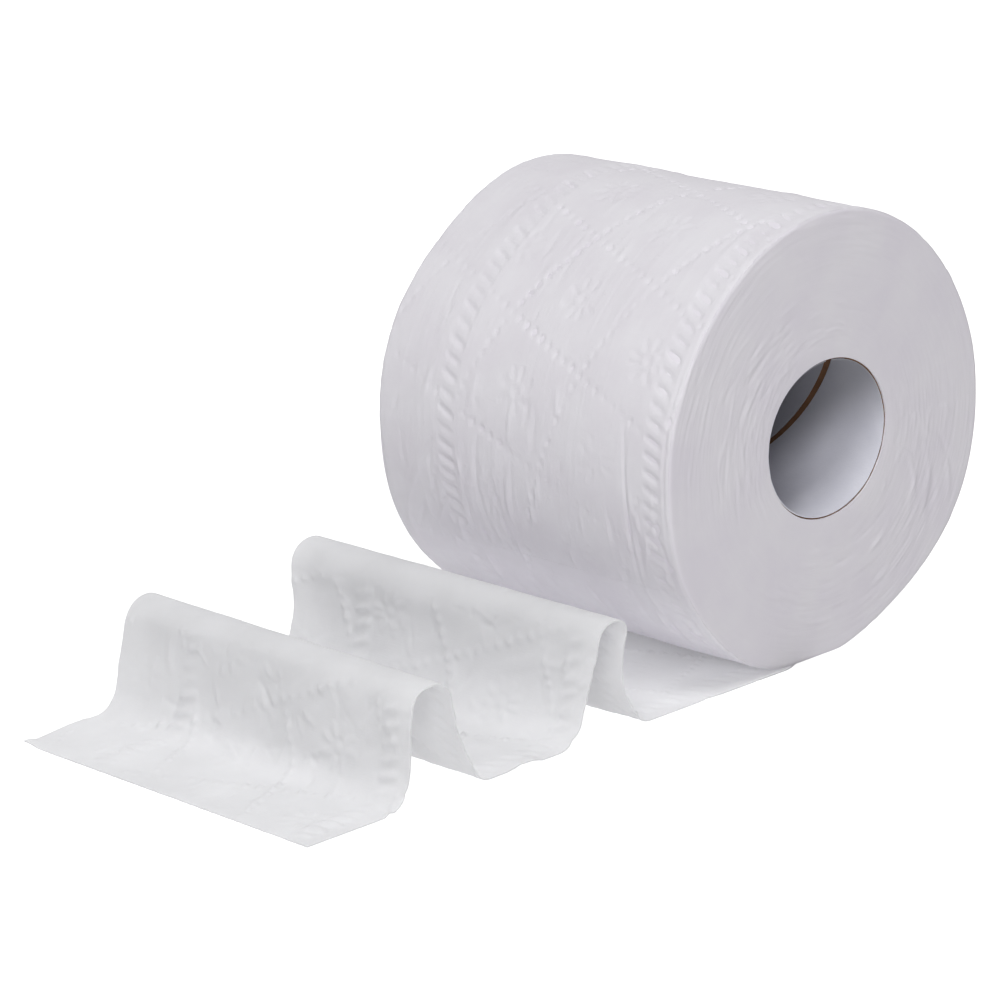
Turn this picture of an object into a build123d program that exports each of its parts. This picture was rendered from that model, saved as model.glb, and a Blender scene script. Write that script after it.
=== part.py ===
"""Soft tissue roll on a two-ply board core, lying on its side with its loose end in two standing waves.

The origin is the middle of the core's bore. Y is the roll's axis, and -Y is the end that faces the viewer.
Z is up, and the loose end runs away along -X. All sizes are in millimetres.
"""
from build123d import *
import os
from dataclasses import dataclass
from math import atan2, hypot, pi, sin, sqrt, tan

# Roll
roll_width = 96.0
roll_radius = 55.6
flat_spot_depth = 1.0
sheet_thickness = 0.4
rim_softening = 0.7

# Core: a grey board strip wound in a helix inside a brown board tube
bore_radius = 20.0
inner_ply_thickness = 0.25
glue_line = 0.05
outer_ply_thickness = 0.3
strip_lead = 100.0
strip_gap = 2.2
strip_gap_angle_at_near_end = 88.0

# Turn lines: a spiral groove in each end of the roll
shown_turns = 5
turn_groove_width = 0.35
turn_groove_depth = 0.4
turn_groove_margin = 1.8

# Loose end: lengths measured along the floor, away from the roll
flat_run = 56.0
trough_run = 31.6
end_run = 30.1
wave_height = 27.2
back_foot_bend = 4.5
waist_bend = 12.0
front_foot_bend = 8.0


@dataclass
class Wave:
    """Outline of one wave at one edge of the sheet, in shares of the wave height.

    Runs are measured along the floor from the wave's foot on the roll's side. The drift is how far
    that foot stands from where it is at the near edge.
    """

    base: float
    height: float
    waist_height: float
    back_waist: float
    crest_start: float
    crest_end: float
    front_waist: float
    crest_bend: float
    drift: float = 0.0

    def corners(self, foot):
        """Corners of the wave as (run, height), with its near edge's first foot at the given run."""
        shares = [
            (0.0, 0.0),
            (self.back_waist, self.waist_height),
            (self.crest_start, self.height),
            (self.crest_end, self.height),
            (self.front_waist, self.waist_height),
            (self.base, 0.0),
        ]
        return [(foot + wave_height * (self.drift + run), wave_height * rise) for run, rise in shares]

    def bends(self):
        """Wanted radius of the bend at each corner."""
        crest = wave_height * self.crest_bend
        return [back_foot_bend, waist_bend, crest, crest, waist_bend, front_foot_bend]


near_inner_wave = Wave(base=0.765, height=1.0, waist_height=0.44, back_waist=0.255,
                       crest_start=0.11, crest_end=0.46, front_waist=0.625, crest_bend=0.17)
far_inner_wave = Wave(base=0.755, height=1.065, waist_height=0.44, back_waist=0.24,
                      crest_start=0.165, crest_end=0.66, front_waist=0.625, crest_bend=0.17, drift=0.11)
near_outer_wave = Wave(base=0.8125, height=0.98, waist_height=0.515, back_waist=0.25,
                       crest_start=0.355, crest_end=0.715, front_waist=0.765, crest_bend=0.125)
far_outer_wave = Wave(base=0.935, height=0.995, waist_height=0.515, back_waist=0.25,
                      crest_start=0.33, crest_end=0.715, front_waist=0.82, crest_bend=0.165)

core_outer_radius = bore_radius + inner_ply_thickness + glue_line + outer_ply_thickness
near_y = -roll_width / 2
far_y = roll_width / 2
floor_z = flat_spot_depth - roll_radius
left_drum_radius = roll_radius - sheet_thickness / 2
left_drum_z = sheet_thickness / 2
nip_x = -sqrt(left_drum_radius**2 - (floor_z + sheet_thickness - left_drum_z) ** 2)


def end_plane(y):
    """Plane across the axis at y, with its own X along the roll's X and its own Y up."""
    return Plane(origin=(0, y, 0), x_dir=(1, 0, 0), z_dir=(0, -1, 0))


def half_drum(radius, axis_z, start_angle):
    """Half of a drum with softened rims, turned about a line along Y at the height axis_z."""
    half_section = Pos(radius / 2, 0) * Rectangle(radius, roll_width)
    rim_corners = half_section.vertices().group_by(Axis.X)[-1]
    profile = Rot(0, start_angle, 0) * chamfer(rim_corners, rim_softening)
    return Pos(0, 0, axis_z) * revolve(profile, Axis.Y, 180)


def wound_body():
    """The wound turns: two half drums whose radii differ by half a sheet, so that the outline is a spiral.

    The outermost sheet comes down the +X side and goes under the roll, which rests on a flat spot.
    """
    body = half_drum(roll_radius, 0, 90) + half_drum(left_drum_radius, left_drum_z, -90)
    below_floor = Pos(0, 0, floor_z) * Box(3 * roll_radius, 2 * roll_width, 2 * roll_radius,
                                           align=(Align.CENTER, Align.CENTER, Align.MAX))
    return body - below_floor


def half_turns(first_radius, pitch):
    """Spiral of half circles about two centres, starting on the +X side at the first radius."""
    arcs = []
    for index in range(2 * shown_turns):
        radius = first_radius + (index + 0.5) * pitch / 2
        side = -1 if index % 2 == 0 else 1
        arcs.append(CenterArc((side * pitch / 4, 0), radius, 180 * index, 180))
    return arcs


def turn_groove():
    """Flat spiral strip that marks the turns on an end of the roll, in an end plane."""
    first = core_outer_radius + turn_groove_margin
    last = roll_radius - flat_spot_depth - rim_softening - turn_groove_margin
    pitch = (last - first) / shown_turns
    inner_edge = Curve() + half_turns(first, pitch)
    outer_edge = Curve() + half_turns(first + turn_groove_width, pitch)
    start = Line((first, 0), (first + turn_groove_width, 0))
    end = Line((last, 0), (last + turn_groove_width, 0))
    return make_face(inner_edge + outer_edge + start + end)


def bend_radius(before, corner, after, wanted):
    """The wanted radius, or the largest that the two runs beside a corner leave room for."""
    run_in = hypot(corner[0] - before[0], corner[1] - before[1])
    run_out = hypot(after[0] - corner[0], after[1] - corner[1])
    heading_in = atan2(corner[1] - before[1], corner[0] - before[0])
    heading_out = atan2(after[1] - corner[1], after[0] - corner[0])
    turn = abs((heading_out - heading_in + pi) % (2 * pi) - pi)
    return min(wanted, 0.45 * min(run_in, run_out) / tan(turn / 2))


def loose_end_face(inner_wave, outer_wave, y):
    """Section of the loose end at one edge: straight runs joined by bends, one sheet thick."""
    inner_foot = flat_run
    outer_foot = inner_foot + wave_height * near_inner_wave.base + trough_run
    tip = outer_foot + wave_height * near_outer_wave.base + end_run
    corners = [(nip_x, 0.0)] + inner_wave.corners(inner_foot) + outer_wave.corners(outer_foot) + [(tip, 0.0)]
    wanted = inner_wave.bends() + outer_wave.bends()
    radii = []
    for index, radius in enumerate(wanted, start=1):
        radii.append(bend_radius(corners[index - 1], corners[index], corners[index + 1], radius))
    points = [(nip_x - run, floor_z + height) for run, height in corners]
    underside = FilletPolyline(*points, radius=radii)
    outline = offset(underside, amount=sheet_thickness, side=Side.RIGHT, closed=True)
    return end_plane(y) * make_face(outline)


def loose_end():
    """The sheet from the nip to its torn end, straight from the near edge to the far edge."""
    near = loose_end_face(near_inner_wave, near_outer_wave, near_y)
    far = loose_end_face(far_inner_wave, far_outer_wave, far_y)
    return loft([near, far], ruled=True)


def paper_roll():
    """Wound turns and loose end, one solid, with the core's seat and the turn lines cut in."""
    paper = wound_body() + loose_end()
    paper -= extrude(end_plane(far_y) * Circle(core_outer_radius), roll_width)
    groove = turn_groove()
    paper -= extrude(end_plane(near_y) * groove, -turn_groove_depth)
    paper -= extrude(end_plane(far_y) * groove, turn_groove_depth)
    return paper


def core_outer_ply():
    """Brown board tube that the paper is wound on."""
    ring = Circle(core_outer_radius) - Circle(core_outer_radius - outer_ply_thickness)
    return extrude(end_plane(far_y) * ring, roll_width)


def core_inner_ply():
    """Grey board strip wound inside the tube: a lining with a gap that runs round it in a helix."""
    seat_radius = bore_radius + inner_ply_thickness
    lining = extrude(end_plane(far_y) * (Circle(seat_radius) - Circle(bore_radius)), roll_width)
    helix_angle = atan2(strip_lead, 2 * pi * bore_radius)
    gap_along_circle = strip_gap / sin(helix_angle)
    cut_depth = 3 * inner_ply_thickness
    mid_radius = bore_radius + inner_ply_thickness / 2
    gap = Pos(mid_radius, 0) * Rectangle(cut_depth, gap_along_circle)
    start = end_plane(near_y) * Rot(0, 0, strip_gap_angle_at_near_end) * gap
    cutter = Solid.extrude_linear_with_rotation(
        start.face(), center=(0, near_y, 0), normal=(0, roll_width, 0), angle=360 * roll_width / strip_lead
    )
    return lining - cutter


def main():
    os.makedirs("parts", exist_ok=True)
    parts = {
        "paper_roll": paper_roll(),
        "core_outer_ply": core_outer_ply(),
        "core_inner_ply": core_inner_ply(),
    }
    for name, part in parts.items():
        export_step(part, f"parts/{name}.step")
        print(name, "solids", len(part.solids()), "volume", round(part.volume, 1), "valid", part.is_valid)


main()
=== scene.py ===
"""Looks of a toilet paper roll that lies on its side, with its loose end in two standing waves.

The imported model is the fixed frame: Y is the roll's axis, -Y is the end that faces the viewer, Z is up and
the loose end runs away along -X. Sizes are in millimetres in every class, and turn into metres when a mesh
is made. The tissue is one long sheet, so its relief is a function of the sheet's own coordinates: u is the
distance from the torn end, along the sheet, and y is the place across it. The wound turn and the loose end
read the same function, which keeps the pressed pattern in step from one to the other.
"""
from __future__ import annotations

import logging
import math
from dataclasses import dataclass
from enum import Enum

import bpy
import numpy as np
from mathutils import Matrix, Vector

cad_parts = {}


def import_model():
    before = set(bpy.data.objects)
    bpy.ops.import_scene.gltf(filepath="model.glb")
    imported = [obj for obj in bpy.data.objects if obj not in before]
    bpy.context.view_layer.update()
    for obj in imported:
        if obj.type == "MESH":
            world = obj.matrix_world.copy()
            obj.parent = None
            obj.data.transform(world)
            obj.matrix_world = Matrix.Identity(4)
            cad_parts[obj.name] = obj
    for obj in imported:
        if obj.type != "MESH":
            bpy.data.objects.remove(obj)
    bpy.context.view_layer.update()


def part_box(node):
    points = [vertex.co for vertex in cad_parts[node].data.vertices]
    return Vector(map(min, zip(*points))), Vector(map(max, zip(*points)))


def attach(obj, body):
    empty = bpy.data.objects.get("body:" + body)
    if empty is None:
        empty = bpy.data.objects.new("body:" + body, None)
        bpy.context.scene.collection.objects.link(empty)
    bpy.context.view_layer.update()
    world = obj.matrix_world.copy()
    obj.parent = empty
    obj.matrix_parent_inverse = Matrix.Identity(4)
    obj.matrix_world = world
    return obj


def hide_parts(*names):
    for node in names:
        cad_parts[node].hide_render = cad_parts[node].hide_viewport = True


LOG = logging.getLogger("toilet_roll")
METRES = 0.001
TURN = 2 * math.pi
TABLE_CELLS = 512
SHARP_EDGE = math.radians(55)
WHITE = (1.0, 1.0, 1.0, 1.0)
BLACK = (0.0, 0.0, 0.0, 1.0)

Array = np.ndarray
Pair = tuple[float, float]
Triple = tuple[float, float, float]
Colour = tuple[int, int, int]
Socket = bpy.types.NodeSocket
Inputs = dict[str | int, object]


class Slot(Enum):
    """Material slots of the record."""

    TISSUE = "tissue"
    BROWN_BOARD = "brown_board"
    GREY_BOARD = "grey_board"


def fade(low: float, high: float, value: Array) -> Array:
    """Rises smoothly from 0 at low to 1 at high, as 3t^2 - 2t^3.

    Args:
        low: Value where the rise starts.
        high: Value where it ends.
        value: Places to work it out at.

    Returns:
        The share of the rise at each place.
    """
    t = np.clip((value - low) / (high - low), 0.0, 1.0)
    return t * t * (3 - 2 * t)


def bell(distance: Array, width: float) -> Array:
    """Bell curve of the given width: exp(-distance^2 / (2 width^2))."""
    return np.exp(-0.5 * (distance / width) ** 2)


def oval(angle: Array, squash: float) -> Array:
    """What an oval adds to a circle's radius: squash cos(2 angle), so it is wider than it is high."""
    return squash * np.cos(2 * angle)


def about_axis(radius: Array, angle: Array, y: Array) -> Array:
    """Points (r cos a, y, r sin a), at the angle a about the roll's axis, from +X over the top."""
    return np.stack(np.broadcast_arrays(radius * np.cos(angle), y, radius * np.sin(angle)), -1)


def added(name: str, data: bpy.types.ID) -> bpy.types.Object:
    """Adds an object to the scene.

    Args:
        name: Name of the object.
        data: Its mesh, camera or lamp.

    Returns:
        The new object.
    """
    item = bpy.data.objects.new(name, data)
    bpy.context.scene.collection.objects.link(item)
    return item


@dataclass(frozen=True)
class Ripple:
    """Smooth random field: random values stand on a lattice of cells, and a quintic blends the nearest four.

    Attributes:
        height: The field lies between -height and height.
        cell: Size of a cell along x and along y.
        seed: Picks the random values.
        period: Number of cells after which the field repeats along x, or 0 for a long table.
    """

    height: float
    cell: Pair
    seed: int
    period: int = 0

    def at(self, x: Array | float, y: Array | float = 0.0, copy: int = 0) -> Array:
        """Works the field out.

        Args:
            x: First coordinate.
            y: Second coordinate.
            copy: Number that is added to the seed, for another field of the same kind.

        Returns:
            The field at each place.
        """
        shape = (self.period or TABLE_CELLS, TABLE_CELLS)
        table = np.random.default_rng(self.seed + copy).uniform(-1, 1, shape)
        grid_x, grid_y = np.broadcast_arrays(x / self.cell[0], y / self.cell[1])
        column, row = np.floor(grid_x).astype(int), np.floor(grid_y).astype(int)
        blend_x, blend_y = (t**3 * (t * (6 * t - 15) + 10) for t in (grid_x - column, grid_y - row))

        def value(step_x: int, step_y: int) -> Array:
            """Random value at the corner that many cells on."""
            return table[(column + step_x) % shape[0], (row + step_y) % shape[1]]

        low = value(0, 0) * (1 - blend_x) + value(1, 0) * blend_x
        high = value(0, 1) * (1 - blend_x) + value(1, 1) * blend_x
        return self.height * (low * (1 - blend_y) + high * blend_y)


def around(height: float, count: int, length: float, seed: int) -> Ripple:
    """Ripple on a ring, with x as an angle: that many cells round the turn, each of that length along y."""
    return Ripple(height, (TURN / count, length), seed, count)


@dataclass(frozen=True)
class Grid:
    """Surface on a grid of points, made into a mesh of quads.

    Attributes:
        points: Places in millimetres, as (rows, columns, 3).
        rows_close: The last row joins the first.
        columns_close: The last column joins the first.
        folded_ends: The first and last rows are rings folded flat, and quads across the fold close them.
        flat_ends: The first and last rows are rings in a plane, and one face closes each.
        sheet: Coordinates of each point on its sheet, in millimetres, as (rows, columns, 2).
    """

    points: Array
    rows_close: bool = False
    columns_close: bool = False
    folded_ends: bool = False
    flat_ends: bool = False
    sheet: Array | None = None

    def quads(self) -> Array:
        """Works out the quads between neighbouring rows and columns, and across folded ends.

        Returns:
            The numbers of their corners, as (quads, 4).
        """
        rows, columns = self.points.shape[:2]
        row = np.arange(rows if self.rows_close else rows - 1)[:, None]
        column = np.arange(columns if self.columns_close else columns - 1)[None, :]
        next_row, next_column = (row + 1) % rows, (column + 1) % columns
        corners = np.broadcast_arrays(
            row * columns + column,
            next_row * columns + column,
            next_row * columns + next_column,
            row * columns + next_column,
        )
        faces = [np.stack(corners, -1).reshape(-1, 4)]
        if self.folded_ends:
            near = np.arange(columns // 2 - 1)
            first = np.stack([near, near + 1, columns - 2 - near, columns - 1 - near], -1)
            faces += [first, first[:, ::-1] + (rows - 1) * columns]
        return np.concatenate(faces)

    def mesh(self, name: str) -> bpy.types.Object:
        """Makes the surface an object at the origin, in metres, with its sheet coordinates as a UV map.

        Args:
            name: Name of the piece.

        Returns:
            The new object, linked to the scene.
        """
        rows, columns = self.points.shape[:2]
        quads = self.quads()
        corners, sizes = quads.ravel(), np.full(len(quads), 4)
        if self.flat_ends:
            ring = np.arange(columns)
            corners = np.concatenate([corners, ring, ring[::-1] + (rows - 1) * columns])
            sizes = np.concatenate([sizes, [columns, columns]])
        data = bpy.data.meshes.new(name)
        data.vertices.add(rows * columns)
        data.vertices.foreach_set("co", (self.points * METRES).astype(np.float32).ravel())
        data.loops.add(len(corners))
        data.loops.foreach_set("vertex_index", corners.astype(np.int32))
        data.polygons.add(len(sizes))
        data.polygons.foreach_set("loop_start", (np.cumsum(sizes) - sizes).astype(np.int32))
        data.update(calc_edges=True)
        data.polygons.foreach_set("use_smooth", np.ones(len(sizes), bool))
        if self.sheet is not None:
            layer = data.uv_layers.new(name="sheet")
            flat = self.sheet.reshape(-1, 2)[corners]
            layer.data.foreach_set("uv", (flat * METRES).astype(np.float32).ravel())
        data.set_sharp_from_angle(angle=SHARP_EDGE)
        data.validate()
        return added(name, data)


@dataclass(frozen=True)
class Emboss:
    """Pattern pressed into the sheet from its outer face, with the creases that winding leaves.

    Heights are positive away from the roll's axis, so what is pressed in is negative.
    """

    slant: float = math.radians(22.5)
    cells: Pair = (27.3, 29.9)
    crossing: Pair = (489.3, -16.4)
    quilt_height: float = 0.1
    mean_strength: float = 0.8
    strength_limits: Pair = (0.25, 1.2)
    strength_ripples: tuple[Ripple, ...] = (Ripple(0.5, (34.0, 21.0), 11), Ripple(0.25, (9.0, 7.0), 12))
    worn_places: Pair = (27.0, 34.0)
    worn_share: float = 0.5

    dots_per_side: int = 9
    dot_depth: float = 0.62
    dot_length: float = 0.64
    dot_width: float = 0.5
    dot_share: float = 0.72
    dot_numbering: tuple[int, int] = (3, 7)
    dot_ripple: Ripple = Ripple(0.42, (1.0, 1.0), 14)

    rope_places: Pair = (-42.2, 24.4)
    rope_pitch: float = 4.0
    rope_half_length: float = 2.8
    rope_lean: float = -0.38
    rope_depth: float = 0.76
    rope_width: float = 0.64
    rope_roundness: float = 0.7
    rope_wear: float = 0.5
    rope_share: float = 0.75
    rope_margin: Pair = (-0.3, 0.9)
    rope_drift: Ripple = Ripple(0.35, (28.0, 1.0), 21)
    rope_shift: Ripple = Ripple(1.1, (17.0, 1.0), 31)
    rope_ripple: Ripple = Ripple(0.35, (1.0, 1.0), 35)

    petal_count: int = 8
    petal_depth: float = 0.25
    petal_width: float = 0.62
    petal_reach: Pair = (2.2, 6.2)
    petal_turn: Ripple = Ripple(0.35, (6.0, 6.0), 15)
    heart_width: float = 0.75

    perforation_pitch: float = 107.7
    perforation_depth: float = 0.1
    perforation_width: float = 0.3
    perforation_bow: Ripple = Ripple(0.35, (1.0, 16.0), 41)
    slit_pitch: float = 2.4
    slit_share: float = 0.45

    crimp_share: float = 0.3
    crimp_limits: Pair = (-0.25, 0.75)
    crimp_drift: Ripple = Ripple(0.8, (26.0, 14.0), 51)
    crimp_ridges: tuple[Ripple, ...] = (Ripple(0.035, (13.0, 1.15), 52), Ripple(0.0175, (7.0, 0.8), 53))
    crimp_patches: Ripple = Ripple(1.0, (38.0, 17.0), 54)

    def strength(self, u: Array, y: Array) -> Array:
        """Share of the full depth, which differs as the press wears and the sheet pulls.

        Args:
            u: Distance from the torn end.
            y: Place across the sheet.

        Returns:
            The share at each place.
        """
        worn = 1 - self.worn_share * fade(*self.worn_places, y)
        share = self.mean_strength + sum(ripple.at(u, y) for ripple in self.strength_ripples)
        return worn * np.clip(share, *self.strength_limits)

    def lattice(self, u: Array, y: Array) -> tuple[Array, Array]:
        """Coordinates along the two families of dotted lines, which are turned by the slant.

        Args:
            u: Distance from the torn end.
            y: Place across the sheet.

        Returns:
            Both coordinates, in cells, from a crossing of two lines.
        """
        du, dy = u - self.crossing[0], y - self.crossing[1]
        first = (du * math.cos(self.slant) + dy * math.sin(self.slant)) / self.cells[0]
        second = (dy * math.cos(self.slant) - du * math.sin(self.slant)) / self.cells[1]
        return first, second

    def dots(self, u: Array, y: Array) -> Array:
        """Rows of oval dots along both families of lines: one bell at the nearest dot.

        Args:
            u: Distance from the torn end.
            y: Place across the sheet.

        Returns:
            Share of a dot's depth.
        """
        first, second = self.lattice(u, y)
        step = 1 / self.dots_per_side
        count_first, count_second = np.round(first / step), np.round(second / step)
        near_first, near_second = count_first * step, count_second * step
        off_line = np.minimum(*(np.abs(near - np.round(near)) for near in (near_first, near_second)))
        off_first, off_second = (first - near_first) * self.cells[0], (second - near_second) * self.cells[1]
        off_u = off_first * math.cos(self.slant) - off_second * math.sin(self.slant)
        off_y = off_first * math.sin(self.slant) + off_second * math.cos(self.slant)
        number = count_first * self.dot_numbering[0] + count_second * self.dot_numbering[1]
        uneven = self.dot_share + self.dot_ripple.at(number)
        dot = uneven * bell(off_u, self.dot_length) * bell(off_y, self.dot_width)
        return np.where(off_line < step / 4, dot, 0.0)

    def rosettes(self, u: Array, y: Array) -> Array:
        """A plain daisy in the middle of each cell: short strokes round a dot.

        Args:
            u: Distance from the torn end.
            y: Place across the sheet.

        Returns:
            Share of a stroke's depth.
        """
        first, second = self.lattice(u, y)
        off_first = (first - np.floor(first) - 0.5) * self.cells[0]
        off_second = (second - np.floor(second) - 0.5) * self.cells[1]
        reach = np.hypot(off_first, off_second)
        angle = np.arctan2(off_second, off_first) + self.petal_turn.at(u, y)
        sector = TURN / self.petal_count
        across = reach * np.sin(angle - np.round(angle / sector) * sector)
        inner, outer = self.petal_reach
        middle, half = (inner + outer) / 2, (outer - inner) / 2
        along = np.clip(1 - ((reach - middle) / half) ** 2, 0.0, 1.0)
        return bell(across, self.petal_width) * np.sqrt(along) + bell(reach, self.heart_width)

    def ropes(self, u: Array, y: Array) -> Array:
        """Two bands of slanted oval strokes that look like twisted cord, some pressed deeper than others.

        Args:
            u: Distance from the torn end.
            y: Place across the sheet.

        Returns:
            Share of a stroke's depth.
        """
        total = np.zeros(np.broadcast(u, y).shape)
        for number, place in enumerate(self.rope_places):
            off = y - place + self.rope_drift.at(u, copy=number)
            phase = (u - self.rope_lean * off + self.rope_shift.at(u, copy=number)) / self.rope_pitch
            stroke = np.round(phase)
            away = (phase - stroke) * self.rope_pitch
            uneven = self.rope_share + self.rope_ripple.at(stroke, copy=number)
            window = np.clip(1 - (off / self.rope_half_length) ** 2, 0.0, 1.0) ** self.rope_roundness
            total += bell(away, self.rope_width) * window * uneven
        return total

    def rope_mask(self, y: Array) -> Array:
        """Share of the other patterns that is left beside the ropes: none within a rope.

        Args:
            y: Place across the sheet.

        Returns:
            The share at each place.
        """
        start, end = (self.rope_half_length + margin for margin in self.rope_margin)
        near, far = self.rope_places
        return fade(start, end, np.abs(y - near)) * fade(start, end, np.abs(y - far))

    def quilting(self, u: Array, y: Array) -> Array:
        """Soft pillows between the dotted lines: the root of |sin sin| of both lattice coordinates."""
        first, second = self.lattice(u, y)
        return np.sqrt(np.abs(np.sin(math.pi * first) * np.sin(math.pi * second)))

    def perforations(self, u: Array, y: Array) -> Array:
        """Rows of short slits across the sheet, one at the end of each square.

        Args:
            u: Distance from the torn end.
            y: Place across the sheet.

        Returns:
            Share of a slit's depth.
        """
        away = u - np.round(u / self.perforation_pitch) * self.perforation_pitch
        away = away + self.perforation_bow.at(0.0, y)
        slits = 1 - self.slit_share + self.slit_share * np.sin(y * TURN / self.slit_pitch)
        return bell(away, self.perforation_width) * slits

    def crimps(self, u: Array, y: Array) -> Array:
        """Fine ridges that run along the sheet where it was wound under tension.

        Args:
            u: Distance from the torn end.
            y: Place across the sheet.

        Returns:
            Height in millimetres.
        """
        drift = y + self.crimp_drift.at(u, y)
        patches = fade(*self.crimp_limits, self.crimp_patches.at(u, y))
        return sum(ridges.at(u, drift) for ridges in self.crimp_ridges) * (self.crimp_share + patches)

    def height(self, u: Array, y: Array) -> Array:
        """Height of the sheet's outer face over its plain form.

        Args:
            u: Distance from the torn end.
            y: Place across the sheet.

        Returns:
            Height in millimetres, negative where the sheet is pressed in.
        """
        strength, mask = self.strength(u, y), self.rope_mask(y)
        pressed = self.dot_depth * self.dots(u, y) + self.petal_depth * self.rosettes(u, y)
        roped = (1 - self.rope_wear * (1 - strength)) * self.rope_depth * self.ropes(u, y)
        height = self.quilt_height * mask * self.quilting(u, y) - strength * mask * pressed - roped
        return height - self.perforation_depth * self.perforations(u, y) + self.crimps(u, y)


@dataclass(frozen=True)
class Crumples:
    """Scattered short folds of a thin sheet, each a ridge or a groove on a slightly bowed line.

    Attributes:
        seed: Picks the random values.
        count: Number of folds.
        middle: Where they crowd, as (u, y).
        spread: Standard deviation of their places along u and y.
        half_length: Least and greatest half length.
        width: Least and greatest width of the bell across a fold.
        height: Least and greatest height.
        turn: Mean angle of a fold from the sheet's length, and its standard deviation, in radians.
        bow: Least and greatest bow.
    """

    seed: int
    count: int
    middle: Pair
    spread: Pair
    half_length: Pair = (2.0, 8.0)
    width: Pair = (0.36, 0.7)
    height: Pair = (0.1, 0.34)
    turn: Pair = (0.0, 0.1)
    bow: Pair = (-0.6, 0.6)

    def relief(self, u: Array, y: Array) -> Array:
        """Height of all the folds: a bell across each, and 1 - t^2 along it.

        Args:
            u: Distance along the sheet, which changes with the row alone.
            y: Place across the sheet.

        Returns:
            Height in millimetres.
        """
        rng = np.random.default_rng(self.seed)
        total = np.zeros(np.broadcast(u, y).shape)
        rows_u = u.max(axis=1)
        for _ in range(self.count):
            place_u, place_y = rng.normal(self.middle, self.spread)
            half = rng.uniform(*self.half_length)
            width = rng.uniform(*self.width)
            height = rng.choice([-1.0, 1.0]) * rng.uniform(*self.height)
            bow, turn = rng.uniform(*self.bow), rng.normal(*self.turn)
            rows = np.flatnonzero(np.abs(rows_u - place_u) < half + 2 * width)
            if len(rows):
                du = u[rows] - place_u
                dy = (y if y.shape[0] == 1 else y[rows]) - place_y
                along = (du * math.cos(turn) + dy * math.sin(turn)) / half
                across = dy * math.cos(turn) - du * math.sin(turn) - bow * along**2
                total[rows] += height * np.clip(1 - along**2, 0.0, 1.0) * bell(across, width)
        return total


@dataclass(frozen=True)
class Crease:
    """A long groove in the wound turn, along a stretch of its circumference.

    Angles are measured about the axis from +X over the top, in degrees.
    """

    place: float
    start: float
    end: float
    bow: float
    depth: float
    width: float

    def height(self, angle: Array, y: Array) -> Array:
        """Depth of the groove, bowed by a parabola along its run and fading out at both ends.

        Args:
            angle: Angle about the axis, in radians.
            y: Place along the axis.

        Returns:
            Height in millimetres, negative in the groove.
        """
        middle, half = (self.start + self.end) / 2, (self.end - self.start) / 2
        share = (np.degrees(angle) - middle) / half
        centre = self.place + self.bow * share**2
        run = np.clip(1 - share**2, 0.0, 1.0)
        return -self.depth * np.sqrt(run) * bell(y - centre, self.width)


@dataclass(frozen=True)
class Swell:
    """A place where the soft roll stands out from its round form, or in where the heights are negative.

    Attributes:
        angle: Its middle, measured about the axis from +X over the top, in degrees.
        spread: Width of its bell along the turn, in degrees.
        near: Height at the near end, in millimetres.
        far: Height at the far end.
    """

    angle: float
    spread: float
    near: float
    far: float

    def height(self, angle: Array, share: Array) -> Array:
        """Height at an angle in radians and a share of the way from the near end to the far end."""
        away = (np.degrees(angle) - self.angle + 180) % 360 - 180
        return bell(away, self.spread) * (self.near + (self.far - self.near) * share)


@dataclass(frozen=True)
class Band:
    """A place along the axis where all the turns stand fuller, or slacker where the height is negative."""

    place: float
    height: float
    width: float


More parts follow.
